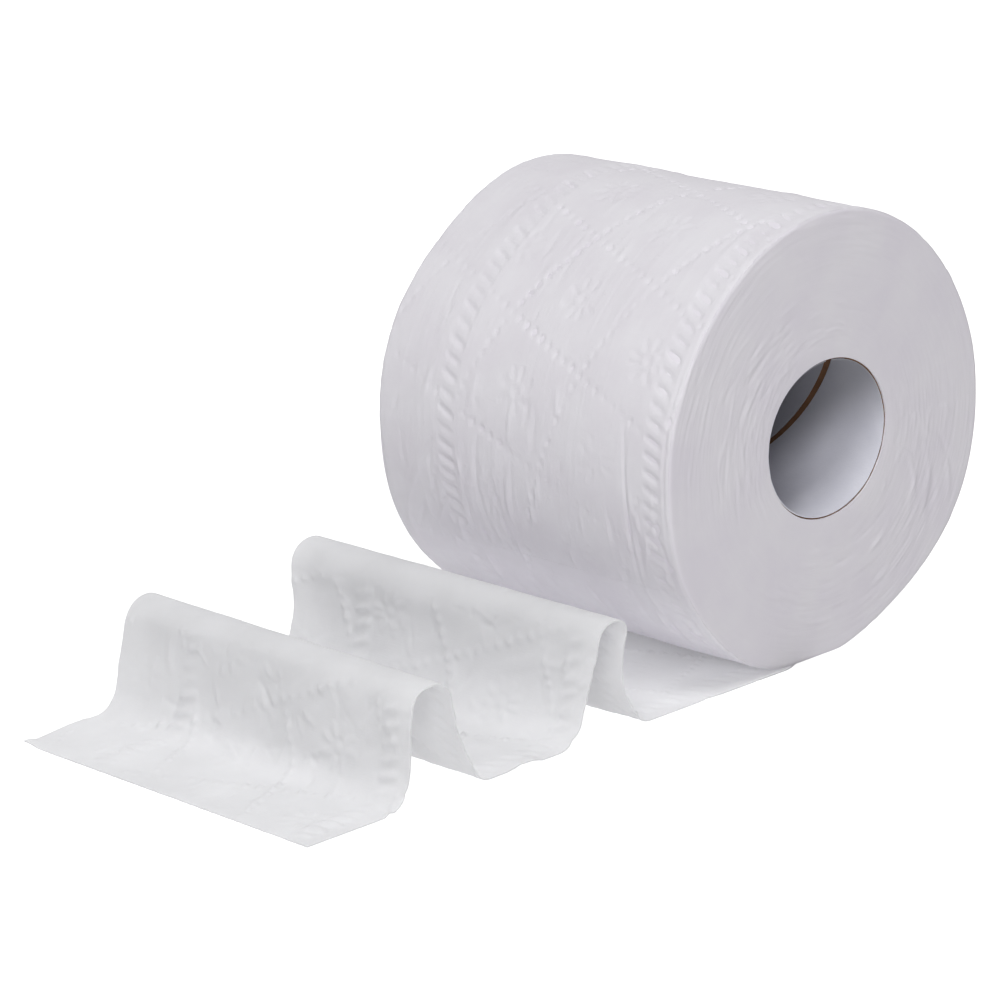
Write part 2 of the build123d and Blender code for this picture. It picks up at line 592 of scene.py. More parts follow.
@dataclass
class Roll:
    """The wound turns: the outermost one with its pressed pattern, and the rest with their two ends."""

    width: float
    floor: float
    seat_radius: float
    emboss: Emboss
    radius: float = 55.6
    sheet_thickness: float = 0.4
    core_squash: float = 1.0
    rim_radius: float = 1.1
    flat_end: float = 1.0
    flat_fade: float = 12.0
    flat_softness: float = 0.22
    lift_run: float = 2.0
    swells: tuple[Swell, ...] = (
        Swell(angle=8.0, spread=16.0, near=0.95, far=0.5),
        Swell(angle=-22.0, spread=13.0, near=1.3, far=0.8),
        Swell(angle=-66.0, spread=17.0, near=-2.3, far=-1.2),
        Swell(angle=125.0, spread=14.0, near=-0.3, far=-1.8),
        Swell(angle=164.0, spread=13.0, near=0.9, far=1.0),
        Swell(angle=208.0, spread=20.0, near=1.6, far=2.5),
        Swell(angle=243.0, spread=13.0, near=1.7, far=1.7),
    )
    bands: tuple[Band, ...] = (
        Band(place=24.4, height=0.3, width=6.0),
        Band(place=-23.2, height=0.18, width=4.5),
        Band(place=8.0, height=-0.12, width=7.0),
    )

    square_gap: float = 0.03
    row_step: float = 0.42
    width_steps: int = 226
    hidden_inset: float = 0.4
    hidden_depth: float = 1.0
    free_gap: float = 0.6
    edge_zone: Pair = (40.0, 47.0)
    slow: Ripple = around(0.05, 11, 30.0, 61)
    edge_waver: Ripple = around(0.12, 40, 1.0, 62)
    crinkle: Ripple = around(0.07, 150, 2.5, 63)
    wrinkles: tuple[Crumples, ...] = (
        Crumples(seed=67, count=70, middle=(542.0, 9.0), spread=(22.0, 12.0)),
        Crumples(seed=68, count=34, middle=(556.0, -38.0), spread=(20.0, 5.0), height=(0.16, 0.4)),
        Crumples(seed=69, count=90, middle=(450.0, 0.0), spread=(90.0, 24.0), height=(0.06, 0.2)),
        Crumples(seed=70, count=40, middle=(540.0, 34.0), spread=(26.0, 9.0), turn=(0.3, 0.4)),
    )
    creases: tuple[Crease, ...] = (
        Crease(place=-34.4, start=166.0, end=212.0, bow=1.3, depth=0.42, width=0.34),
        Crease(place=-46.3, start=146.0, end=199.0, bow=-0.5, depth=0.26, width=0.3),
        Crease(place=14.9, start=176.0, end=204.0, bow=-1.6, depth=0.34, width=0.5),
        Crease(place=19.2, start=178.0, end=222.0, bow=-1.2, depth=0.22, width=0.6),
        Crease(place=9.2, start=184.0, end=212.0, bow=1.0, depth=0.2, width=0.5),
        Crease(place=-29.4, start=188.0, end=226.0, bow=1.5, depth=0.2, width=0.6),
        Crease(place=41.0, start=60.0, end=96.0, bow=0.6, depth=0.2, width=0.6),
        Crease(place=-21.0, start=58.0, end=90.0, bow=-0.8, depth=0.2, width=0.7),
    )

    end_turn_steps: int = 440
    end_radius_steps: int = 98
    end_copies: tuple[int, int] = (71, 81)
    end_pitch: float = 1.9
    end_share: float = 0.3
    end_limits: Pair = (-0.35, 0.7)
    end_drifts: tuple[Ripple, ...] = (around(0.9, 9, 9.0, 0), around(0.3, 34, 3.0, 5))
    end_lines: tuple[Ripple, ...] = (around(0.05, 22, 0.85, 1), around(0.06, 52, 0.6, 2))
    end_patches: Ripple = around(1.0, 7, 8.0, 3)
    end_swell: Ripple = around(0.12, 5, 13.0, 4)
    end_wrinkles: tuple[Crumples, ...] = (
        Crumples(seed=73, count=120, middle=(106.0, 31.0), spread=(20.0, 6.0), half_length=(2.0, 7.0),
                 width=(0.3, 0.5), height=(0.03, 0.12), turn=(0.04, 0.09)),
        Crumples(seed=74, count=90, middle=(200.0, 38.0), spread=(50.0, 9.0), half_length=(2.0, 7.0),
                 width=(0.3, 0.5), height=(0.04, 0.12), turn=(0.04, 0.09)),
        Crumples(seed=75, count=12, middle=(248.0, 40.0), spread=(8.0, 6.0), half_length=(5.0, 9.0),
                 width=(0.5, 0.9), height=(0.1, 0.2), turn=(-0.5, 0.3)),
    )
    dish_depth: float = 0.12
    dish_width: float = 1.1
    settled_width: float = 5.0

    def round_radius(self, angle: Array, y: Array) -> Array:
        """Radius of the outermost turn where nothing presses on it.

        The turn is a spiral: the radius is the full one on the +X side, and over the top and down the -X
        side it falls by half a sheet. The swells of the soft roll are added.

        Args:
            angle: Angle about the axis.
            y: Place along the axis.

        Returns:
            The radius at each place.
        """
        half = self.sheet_thickness / 2
        spiral = np.where(np.cos(angle) < 0, self.radius - half + half * np.sin(angle), self.radius)
        share = y / self.width + 0.5
        return spiral + sum(swell.height(angle, share) for swell in self.swells)

    def floor_radius(self, angle: Array) -> Array:
        """Distance from the axis to the floor, or to the sheet that lies on it under the roll.

        Args:
            angle: Angle about the axis.

        Returns:
            The distance, which is very long where the angle points upwards.
        """
        down = np.minimum(np.sin(angle), -1e-6)
        x_on_floor = self.floor * np.cos(angle) / down
        bare = fade(self.flat_end, self.flat_end + self.flat_fade, x_on_floor)
        return (self.floor + self.sheet_thickness * (1 - bare)) / down

    def outline(self, angle: Array, y: Array) -> Array:
        """Plain radius of the outermost turn.

        A soft minimum, -k log(exp(-a/k) + exp(-b/k)), joins the round part and the flat part at the floor.

        Args:
            angle: Angle about the axis.
            y: Place along the axis.

        Returns:
            The radius at each place.
        """
        k = self.flat_softness
        return -k * np.logaddexp(-self.round_radius(angle, y) / k, -self.floor_radius(angle) / k)

    def start_angle(self) -> float:
        """Angle where the sheet leaves the floor on the +X side."""
        return -math.acos((self.flat_end + self.lift_run) / self.radius)

    def squares(self, first_u: float) -> list[Pair]:
        """Cuts the outermost turn at its rows of perforations.

        Args:
            first_u: Distance from the torn end where the turn starts.

        Returns:
            The stretches, as (first u, last u).
        """
        pitch = self.emboss.perforation_pitch
        last_u = first_u + TURN * self.radius
        rows = np.arange(math.ceil(first_u / pitch), math.ceil(last_u / pitch)) * pitch
        ends = [first_u, *rows.tolist(), last_u]
        return list(zip(ends, ends[1:]))

    def rim_drop(self, distance: Array) -> Array:
        """Drop of the rim's quarter circle, at a distance d past its start: R - sqrt(R^2 - d^2)."""
        into = np.clip(distance, 0.0, self.rim_radius)
        return self.rim_radius - np.sqrt(self.rim_radius**2 - into**2)

    def rim_middle(self) -> float:
        """How far in from the roll's full size the middle of the rim's quarter circle lies."""
        return self.rim_radius * (1 - math.sqrt(0.5))

    def wrap_square(self, first_u: float, start_u: float, end_u: float) -> Grid:
        """A stretch of the outermost turn, as a closed band.

        The outer face is at angle a and place y: radius = outline(a) + bands(y) + relief - rim drop, where
        the relief is the pressed pattern at u = first u + R (a - start angle), with the wrinkles and creases
        added. The inner face is a millimetre further in and plain, because the turns below hide it.

        Args:
            first_u: Distance from the torn end where the outermost turn starts.
            start_u: Distance where this stretch starts.
            end_u: Distance where it ends.

        Returns:
            The closed surface.
        """
        steps = round((end_u - start_u) / self.row_step)
        u = np.linspace(start_u + self.square_gap / 2, end_u - self.square_gap / 2, steps)[:, None]
        angle = self.start_angle() + (u - first_u) / self.radius
        turned = angle % TURN
        rim_y = self.width / 2 - self.rim_middle()
        y = np.linspace(-rim_y, rim_y, self.width_steps)[None, :]
        relief = self.emboss.height(u, y)
        relief = relief + sum(wrinkles.relief(u, y) for wrinkles in self.wrinkles)
        relief = relief + sum(crease.height(turned, y) for crease in self.creases)
        relief = relief + sum(band.height * bell(y - band.place, band.width) for band in self.bands)
        near_rim = fade(*self.edge_zone, np.abs(y))
        relief = relief + self.slow.at(turned, y) + self.crinkle.at(turned, y) * near_rim
        free = fade(0.0, self.free_gap, self.floor_radius(angle) - self.round_radius(angle, y))
        drop = self.rim_drop(np.abs(y) - (self.width / 2 - self.rim_radius))
        outer = self.outline(angle, y) + free * relief - drop
        places = y + self.edge_waver.at(turned) * near_rim * np.sign(y)
        hidden_y = np.array([[rim_y - self.hidden_inset, self.hidden_inset - rim_y]])
        hidden = self.outline(angle, hidden_y) - self.hidden_depth
        radii = np.concatenate([outer, hidden], axis=1)
        all_y = np.concatenate([places, np.broadcast_to(hidden_y, hidden.shape)], axis=1)
        sheet = np.stack(np.broadcast_arrays(u, all_y), -1)
        return Grid(about_axis(radii, angle, all_y), columns_close=True, flat_ends=True, sheet=sheet)

    def end_relief(self, angle: Array, radius: Array, copy: int) -> Array:
        """Relief of an end of the roll: the edges of the turns.

        Each turn's edge is a ridge along a slow spiral. Ridges come and go along the turn, stand out more in
        some patches than in others, and lie on broad, shallow swells.

        Args:
            angle: Angle about the axis.
            radius: Distance from the axis.
            copy: Picks the random values of this end.

        Returns:
            Height in millimetres, away from the roll.
        """
        spiral = radius - self.end_pitch * angle / TURN
        drifted = spiral + sum(drift.at(angle, spiral, copy) for drift in self.end_drifts)
        lines = sum(line.at(angle, drifted, copy) for line in self.end_lines)
        patches = fade(*self.end_limits, self.end_patches.at(angle, radius, copy))
        arc = 2 * self.seat_radius * angle
        short = sum(wrinkles.relief(arc, radius) for wrinkles in self.end_wrinkles)
        share = self.end_share + (1 - self.end_share) * patches
        return share * lines + self.end_swell.at(angle, radius, copy) + short

    def inner_turns(self) -> Grid:
        """All the turns below the outermost one, as a closed drum with the core's seat through it.

        An end at radius r stands at y = -(width/2) + drop(r) - relief, where the drop is the second half of
        the rim's quarter circle and a shallow dish round the core.

        Returns:
            The closed surface.
        """
        angle = (np.arange(self.end_turn_steps) * TURN / self.end_turn_steps)[:, None]
        share = np.linspace(0.0, 1.0, self.end_radius_steps)[None, :]
        seat = self.seat_radius + oval(angle, self.core_squash)
        radii, places = [], []
        for side, copy in zip((-1, 1), self.end_copies):
            edge = self.outline(angle, side * self.width / 2)
            radius = seat + (edge - self.rim_middle() - seat) * share
            drop = self.rim_drop(radius - (edge - self.rim_radius))
            dish = self.dish_depth * bell(radius - seat, self.dish_width)
            relief = fade(0.0, self.settled_width, radius - seat) * self.end_relief(angle, radius, copy)
            radii.append(radius[:, ::-side])
            places.append(side * (self.width / 2 - drop - dish + relief)[:, ::-side])
        points = about_axis(np.concatenate(radii, axis=1), angle, np.concatenate(places, axis=1))
        return Grid(points[::-1], rows_close=True, columns_close=True)


@dataclass(frozen=True)
class Wave:
    """Outline of one standing wave at one edge of the sheet, in shares of the wave height.

    Runs are measured along the floor from the wave's foot on the roll's side. The drift is how far that
    foot stands from where it is at the near edge.
    """

    base: float
    height: float
    waist_height: float
    back_waist: float
    crest_start: float
    crest_end: float
    front_waist: float
    crest_bends: Pair
    drift: float = 0.0

    def corners(self, foot: float, scale: float) -> list[Pair]:
        """Works out the wave's corners.

        Args:
            foot: Run of the near edge's first foot.
            scale: Wave height in millimetres.

        Returns:
            The corners as (run, height).
        """
        shares = [
            (0.0, 0.0),
            (self.back_waist, self.waist_height),
            (self.crest_start, self.height),
            (self.crest_end, self.height),
            (self.front_waist, self.waist_height),
            (self.base, 0.0),
        ]
        return [(foot + scale * (self.drift + run), scale * rise) for run, rise in shares]


@dataclass
class LooseEnd:
    """The sheet from under the roll to its torn end, lying in two waves.

    It is made as two squares that meet at a row of perforations. Runs go along the floor, away from the nip.
    """

    width: float
    floor: float
    tip: float
    emboss: Emboss
    sheet_thickness: float = 0.4
    nip_x: float = -10.48
    tucked_run: float = 10.5
    tuck_inset: float = 2.6
    tuck_fade: Pair = (-5.0, 5.0)
    flat_run: float = 56.0
    trough_run: float = 31.6
    wave_height: float = 27.2
    back_foot_bend: float = 4.5
    waist_bend: float = 12.0
    front_foot_bend: float = 8.0
    bend_limit: float = 0.45
    near_waves: tuple[Wave, Wave] = (
        Wave(0.765, 1.0, 0.44, 0.255, 0.11, 0.46, 0.625, (4.6, 4.6)),
        Wave(0.8125, 0.98, 0.515, 0.25, 0.355, 0.715, 0.765, (3.4, 3.4)),
    )
    far_waves: tuple[Wave, Wave] = (
        Wave(0.755, 1.065, 0.44, 0.24, 0.165, 0.66, 0.625, (4.6, 8.0), drift=0.11),
        Wave(0.935, 0.995, 0.515, 0.25, 0.33, 0.715, 0.82, (4.5, 7.0)),
    )
    softening: float = 1.8
    even_step: float = 0.25
    far_lift: Band = Band(place=145.0, height=1.2, width=6.5)
    width_steps: int = 176
    samples: int = 40

    pattern_share: float = 1.3
    plain_tip: float = 6.0
    crest_zone: Pair = (0.8, 0.95)
    crest_loss: float = 0.88
    free_heights: Pair = (1.0, 9.0)
    broad: tuple[Ripple, ...] = (Ripple(0.55, (21.0, 26.0), 91), Ripple(0.34, (9.0, 12.0), 92))
    pucker: Ripple = Ripple(0.2, (3.4, 6.0), 93)
    pucker_lean: float = 0.4
    edge_zone: float = 7.0
    edge_pucker: Ripple = Ripple(0.9, (8.0, 1.0), 94)
    edge_rows: float = 40.0
    edge_heights: Pair = (0.5, 6.0)
    edge_runs: Pair = (2.0, 12.0)
    torn: Ripple = Ripple(0.09, (1.0, 0.9), 95)
    torn_zone: float = 2.0
    floor_gap: float = 0.02
    folds: tuple[Crumples, ...] = (
        Crumples(seed=96, count=110, middle=(60.0, -6.0), spread=(30.0, 24.0), half_length=(1.5, 5.0),
                 height=(0.15, 0.45), turn=(0.6, 0.8)),
        Crumples(seed=97, count=110, middle=(150.0, -6.0), spread=(24.0, 24.0), half_length=(1.5, 5.0),
                 height=(0.15, 0.45), turn=(0.6, 0.8)),
        Crumples(seed=98, count=8, middle=(56.0, -18.0), spread=(8.0, 14.0), half_length=(6.0, 13.0),
                 width=(0.7, 1.3), height=(0.5, 0.9), turn=(-0.7, 0.25)),
        Crumples(seed=99, count=40, middle=(215.0, -20.0), spread=(18.0, 20.0), height=(0.1, 0.25),
                 turn=(1.3, 0.4)),
    )

    def edge_line(self, waves: tuple[Wave, Wave]) -> Array:
        """Line of the sheet's underside at one edge.

        Straight runs are joined by circular bends. Each run and each bend has the same number of points at
        both edges, so that a point on one edge faces its fellow on the other.

        Args:
            waves: The inner and the outer wave at this edge.

        Returns:
            Points as (run, height), from the tucked end to the torn end.
        """
        outer_foot = self.flat_run + self.wave_height * self.near_waves[0].base + self.trough_run
        corners, bends = [(-self.tucked_run, 0.0)], []
        for wave, foot in zip(waves, (self.flat_run, outer_foot)):
            corners += wave.corners(foot, self.wave_height)
            bends += [self.back_foot_bend, self.waist_bend, *wave.crest_bends]
            bends += [self.waist_bend, self.front_foot_bend]
        points = np.array([*corners, (self.nip_x - self.tip, 0.0)])
        share = np.linspace(0.0, 1.0, self.samples)[:, None]
        pieces, start = [], points[0]
        for before, corner, after, wanted in zip(points, points[1:], points[2:], bends):
            run_in, run_out = math.dist(before, corner), math.dist(corner, after)
            into, out = (corner - before) / run_in, (after - corner) / run_out
            turn = math.acos(float(np.clip(into @ out, -1, 1)))
            radius = min(wanted, self.bend_limit * min(run_in, run_out) / math.tan(turn / 2))
            cut = radius * math.tan(turn / 2)
            first = corner - into * cut
            side = math.copysign(1.0, into[0] * out[1] - into[1] * out[0])
            across = np.array([-into[1], into[0]]) * side
            swept = turn * share[:-1]
            pieces.append(start + (first - start) * share[:-1])
            pieces.append(first + radius * (np.sin(swept) * into + (1 - np.cos(swept)) * across))
            start = corner + out * cut
        pieces.append(start + (points[-1] - start) * share)
        return np.concatenate(pieces)

    def soften(self, line: Array, distance: Array) -> Array:
        """Line with its bends eased, by a running bell-weighted mean over the distance along it.

        Args:
            line: Points as (run, height).
            distance: Distance of each point along the sheet.

        Returns:
            The eased points, with both ends as they were.
        """
        even = np.arange(0.0, distance[-1], self.even_step)
        reach = int(4 * self.softening / self.even_step)
        weights = bell(np.arange(-reach, reach + 1) * self.even_step, self.softening)
        steps = np.arange(1, reach + 1)
        eased = np.empty_like(line)
        for axis in range(2):
            values = np.interp(even, distance, line[:, axis])
            before = values[0] - (values[1] - values[0]) * steps[::-1]
            after = values[-1] + (values[-1] - values[-2]) * steps
            mean = np.convolve(np.concatenate([before, values, after]), weights / weights.sum(), "valid")
            eased[:, axis] = np.interp(distance, even, mean)
        return eased

    def plain_surface(self) -> tuple[Array, Array, Array]:
        """Ruled surface between the near and the far edge line, before its relief.

        Returns:
            Distance along the sheet, and the near and the far edge line as (run, height).
        """
        near, far = self.edge_line(self.near_waves), self.edge_line(self.far_waves)
        far[:, 1] += self.far_lift.height * bell(far[:, 0] - self.far_lift.place, self.far_lift.width)
        steps = (np.hypot(*np.diff(near, axis=0).T) + np.hypot(*np.diff(far, axis=0).T)) / 2
        distance = np.concatenate([[0.0], np.cumsum(steps)])
        return distance, self.soften(near, distance), self.soften(far, distance)

    def slack(self, height: Array) -> Array:
        """Share of the relief that is left at a height: the crests are drawn smooth by their bend."""
        start, end = (share * self.wave_height for share in self.crest_zone)
        return 1 - self.crest_loss * fade(start, end, height)

    def lift(self, u: Array, y: Array, height: Array) -> Array:
        """Soft crumpling of the sheet, away from its plain form: none where it lies on the floor.

        Args:
            u: Distance from the torn end.
            y: Place across the sheet.
            height: Height of the plain surface over the floor.

        Returns:
            The crumpling in millimetres.
        """
        broad = sum(ripple.at(u, y) for ripple in self.broad)
        pucker = self.pucker.at(u + self.pucker_lean * y, y)
        return fade(*self.free_heights, height) * (broad + pucker)

    def edge_ripple(self, u: Array, y: Array, run: Array, height: Array) -> Array:
        """Small rise of the two long edges off the floor, as short puckers.

        Args:
            u: Distance from the torn end.
            y: Place across the sheet.
            run: Run of the plain surface along the floor.
            height: Its height over the floor.

        Returns:
            The rise in millimetres.
        """
        close = fade(self.width / 2 - self.edge_zone, self.width / 2, np.abs(y))
        low = (1 - fade(*self.edge_heights, height)) * fade(*self.edge_runs, run)
        return close * low * np.clip(self.edge_pucker.at(u, np.sign(y) * self.edge_rows), 0.0, 1.0)

    def square(self, start: float, end: float, steps: int) -> Grid:
        """A stretch of the loose end, as a closed sheet with both of its faces.

        At distance s and place y the underside is near(s) + (far(s) - near(s)) (y + w/2) / w, moved along its
        own normal by the crumpling and by the pressed pattern, which stands up on this side because it was
        pressed from the other. The upper side is a sheet's thickness further along the normal.

        Args:
            start: Distance where it starts, from the tucked end.
            end: Distance where it ends.
            steps: Number of rows along it.

        Returns:
            The closed surface.
        """
        distance, near, far = self.plain_surface()
        along = np.linspace(start, end, steps)
        y = np.linspace(-self.width / 2, self.width / 2, self.width_steps)[None, :]
        across = y / self.width + 0.5
        lines = []
        for axis in range(2):
            near_line, far_line = (np.interp(along, distance, line[:, axis])[:, None] for line in (near, far))
            lines.append(near_line + (far_line - near_line) * across)
        run, height = lines
        u, flat_y = np.broadcast_arrays((distance[-1] - along)[:, None], y)
        slope_run, slope_height = np.gradient(run, along, axis=0), np.gradient(height, along, axis=0)
        length = np.hypot(slope_run, slope_height)
        normal_run, normal_height = -slope_height / length, slope_run / length
        pattern = self.pattern_share * self.emboss.height(u, flat_y)
        pattern = pattern + sum(folds.relief(u, flat_y) for folds in self.folds)
        relief = self.lift(u, flat_y, height) - pattern * fade(0.0, self.plain_tip, u)
        move = relief * self.slack(height)
        tucked = self.tuck_inset * (1 - fade(*self.tuck_fade, run))
        places = flat_y * (1 - tucked / (self.width / 2))
        ripple = self.edge_ripple(u, places, run, height)
        torn = self.torn.at(0.0, places) * (1 - fade(0.0, self.torn_zone, u))
        faces = []
        for side in (self.sheet_thickness, 0.0):
            x = self.nip_x - (run + normal_run * (move + side) + torn)
            lifted = height + normal_height * (move + side) + ripple
            z = self.floor + np.maximum(lifted, side + self.floor_gap)
            faces.append(np.stack([x, places, z], -1))
        points = np.concatenate([faces[0], faces[1][:, ::-1]], axis=1)
        flat = np.stack([u, places], -1)
        sheet = np.concatenate([flat, flat[:, ::-1]], axis=1)
        return Grid(points[::-1], columns_close=True, folded_ends=True, sheet=sheet[::-1])


@dataclass
class Core:
    """The two plies of board that the paper is wound on: a grey lining in a brown tube."""

    width: float
    bore_radius: float = 20.0
    lining_thickness: float = 0.25
    glue_line: float = 0.05
    tube_thickness: float = 0.3
    squash: float = 1.0
    ease: float = 0.06
    lining_inset: float = 0.02
    strip_lead: float = 100.0
    strip_gap: float = 1.5
    gap_angle_at_near_end: float = 88.0
    face_waver: Ripple = Ripple(0.001, (0.25, 11.0), 111)
    edge_crowding: float = 0.02
    edge_length: float = 1.0
    tube_roughness: float = 0.12
    lining_roughness: float = 0.1
    tube_copy: int = 101
    lining_copy: int = 121
    wobbles: tuple[Ripple, ...] = (around(0.6, 24, 1.0, 0), around(0.4, 90, 1.0, 1))
    turn_steps: int = 240
    lining_turn_steps: int = 170
    lining_steps: int = 48

    def wobble(self, angle: Array, copy: int) -> Array:
        """Roughness of a cut edge of board along its circumference, between -1 and 1."""
        return sum(wobble.at(angle, copy=copy) for wobble in self.wobbles)

    def tube(self) -> Grid:
        """Outer ply: a tube whose cut ends are eased and a little rough, turned about the axis.

        Returns:
            The closed surface.
        """
        angle = (np.arange(self.turn_steps) * TURN / self.turn_steps)[:, None]
        inner = self.bore_radius + self.lining_thickness + self.glue_line
        outer = inner + self.tube_thickness
        half, ease = self.width / 2, self.ease
        near = [(inner, ease - half), (inner + ease, -half), (outer - ease, -half), (outer, ease - half)]
        far = [(radius, -y) for radius, y in reversed(near)]
        radius, y = np.array(near + far).T[:, None, :]
        y = y + np.sign(y) * self.tube_roughness * self.wobble(angle, self.tube_copy)
        points = about_axis(radius + oval(angle, self.squash), angle, y)
        return Grid(points[::-1], rows_close=True, columns_close=True)

    def lining(self) -> Grid:
        """Inner ply: a strip wound in a helix, which leaves a gap between its turns.

        At place y the gap's middle is at angle g(y) = g0 - 360 (y + w/2) / lead degrees, and the strip goes
        from g + h to g + 360 - h, where h is half the gap's width along the circle. The points stand closer
        together towards the strip's two edges.

        Returns:
            The closed surface.
        """
        half = self.width / 2
        y = np.linspace(-half, half, self.lining_steps)[:, None]
        pitch_angle = math.atan2(self.strip_lead, TURN * self.bore_radius)
        half_gap = self.strip_gap / math.sin(pitch_angle) / self.bore_radius / 2
        middle = math.radians(self.gap_angle_at_near_end) - TURN * (y + half) / self.strip_lead
        share = np.linspace(0.0, 1.0, self.lining_turn_steps)[None, :]
        eased = share - self.edge_crowding * np.sin(TURN * share)
        angle = middle + half_gap + (TURN - 2 * half_gap) * eased
        rough = self.lining_roughness * self.wobble(angle % TURN, self.lining_copy)
        places = y + np.sign(y) * fade(half - self.edge_length, half, np.abs(y)) * rough
        inset = self.lining_inset - np.abs(self.face_waver.at(angle, y))
        faces = []
        for depth in (inset, self.lining_thickness):
            faces.append(about_axis(self.bore_radius + depth + oval(angle, self.squash), angle, places))
        points = np.concatenate([faces[0], faces[1][:, ::-1]], axis=1)
        return Grid(points, columns_close=True, folded_ends=True)


@dataclass(frozen=True)
class Grain:
    """Fine relief of a surface: a noise texture on a stretched vector in metres, read by a bump."""

    stretch: Triple
    scale: float
    detail: float
    roughness: float
    strength: float
    distance: float


class Nodes:
    """Short way to build a node tree."""

    def __init__(self, tree: bpy.types.NodeTree, output: str) -> None:
        """Empties the tree, and adds its output node.

        Args:
            tree: The tree.
            output: Kind of the output node.
        """
        self.tree = tree
        self.tree.nodes.clear()
        self.output = self.add(output)

    def add(self, kind: str, inputs: Inputs | None = None, **settings: object) -> bpy.types.Node:
        """Adds a node.

        Args:
            kind: Kind of the node.
            inputs: For each input by name or number, its value or the socket that feeds it.
            settings: Properties of the node.

        Returns:
            The new node.
        """
        node = self.tree.nodes.new(kind)
        for key, value in settings.items():
            setattr(node, key, value)
        for key, value in (inputs or {}).items():
            if isinstance(value, Socket):
                self.tree.links.new(value, node.inputs[key])
            else:
                node.inputs[key].default_value = value
        return node

    def place(self) -> Socket:
        """Adds a Texture Coordinate node, and returns its Object socket."""
        return self.add("ShaderNodeTexCoord").outputs["Object"]

    def parts(self, vector: Socket) -> tuple[Socket, Socket, Socket]:
        """Adds a Separate XYZ node on a vector, and returns its three sockets."""
        return tuple(self.add("ShaderNodeSeparateXYZ", {0: vector}).outputs)

    def math(self, operation: str, *values: Socket | float) -> Socket:
        """Adds a Math node on sockets or numbers, and returns its output socket."""
        return self.add("ShaderNodeMath", dict(enumerate(values)), operation=operation).outputs[0]

    def fade(self, value: Socket, limits: Pair, results: Pair) -> Socket:
        """Adds a Map Range node that goes smoothly from one result to another.

        Args:
            value: What is read.
            limits: Values where the change starts and ends.
            results: What comes out at and past each limit.

        Returns:
            The node's output socket.
        """
        names = ("Value", "From Min", "From Max", "To Min", "To Max")
        inputs = dict(zip(names, (value, *limits, *results)))
        return self.add("ShaderNodeMapRange", inputs, interpolation_type="SMOOTHSTEP").outputs["Result"]

    def noise(self, vector: Socket, scale: float, detail: float, roughness: float) -> Socket:
        """Adds a Noise Texture on a vector, and returns its Fac socket."""
        inputs = {"Vector": vector, "Scale": scale, "Detail": detail, "Roughness": roughness}
        return self.add("ShaderNodeTexNoise", inputs).outputs["Fac"]

    def ramp(self, factor: Socket, colours: tuple[tuple, tuple], limits: Pair) -> Socket:
        """Adds a Color Ramp from one colour to another.

        Args:
            factor: What is read.
            colours: The two colours, linear and with an alpha.
            limits: Values where the change starts and ends.

        Returns:
            The node's colour socket.
        """
        node = self.add("ShaderNodeValToRGB", {"Fac": factor})
        for element, colour, position in zip(node.color_ramp.elements, colours, limits):
            element.position = position
            element.color = colour
        return node.outputs["Color"]

    def relief(self, vector: Socket, grains: tuple[Grain, ...]) -> Socket:
        """Adds the bumps of some grains, one over the other.

        Args:
            vector: Coordinates that the grains follow.
            grains: The grains, from the lowest up.

        Returns:
            The socket of the last bump's normal.
        """
        normal = {}
        for grain in grains:
            stretched = self.add("ShaderNodeMapping", {"Vector": vector, "Scale": grain.stretch})
            height = self.noise(stretched.outputs["Vector"], grain.scale, grain.detail, grain.roughness)
            inputs = {"Height": height, "Strength": grain.strength, "Distance": grain.distance, **normal}
            normal = {"Normal": self.add("ShaderNodeBump", inputs).outputs["Normal"]}
        return normal["Normal"]

    def matt(self, colour: Socket, normal: Socket, roughness: float, specular: float) -> Socket:
        """Adds a Principled shader.

        Args:
            colour: Socket of its colour.
            normal: Socket of its normal.
            roughness: How matt it is, up to 1.
            specular: How strongly it reflects, up to 1.

        Returns:
            The shader's output socket.
        """
        inputs = {"Base Color": colour, "Normal": normal, "Roughness": roughness}
        inputs["Specular IOR Level"] = specular
        return self.add("ShaderNodeBsdfPrincipled", inputs).outputs[0]

    def mix(self, share: Socket | float, first: Socket, second: Socket) -> Socket:
        """Adds a Mix Shader node, and returns its output socket."""
        return self.add("ShaderNodeMixShader", {0: share, 1: first, 2: second}).outputs[0]

    def show(self, shader: Socket) -> None:
        """Links a shader to the output's surface."""
        self.tree.links.new(shader, self.output.inputs["Surface"])


def start_material(name: str) -> tuple[bpy.types.Material, Nodes]:
    """Makes a material whose tree holds an output alone.

    Args:
        name: Name of the material.

    Returns:
        The material, and its tree.
    """
    material = bpy.data.materials.new(name)
    material.use_nodes = True
    return material, Nodes(material.node_tree, "ShaderNodeOutputMaterial")


def linear(colour: Colour) -> tuple[float, ...]:
    """Linear colour, with an alpha of 1, of an 8-bit display colour, by the sRGB curve."""
    shares = [channel / 255 for channel in colour]
    return tuple(s / 12.92 if s <= 0.04045 else ((s + 0.055) / 1.055) ** 2.4 for s in shares) + (1.0,)


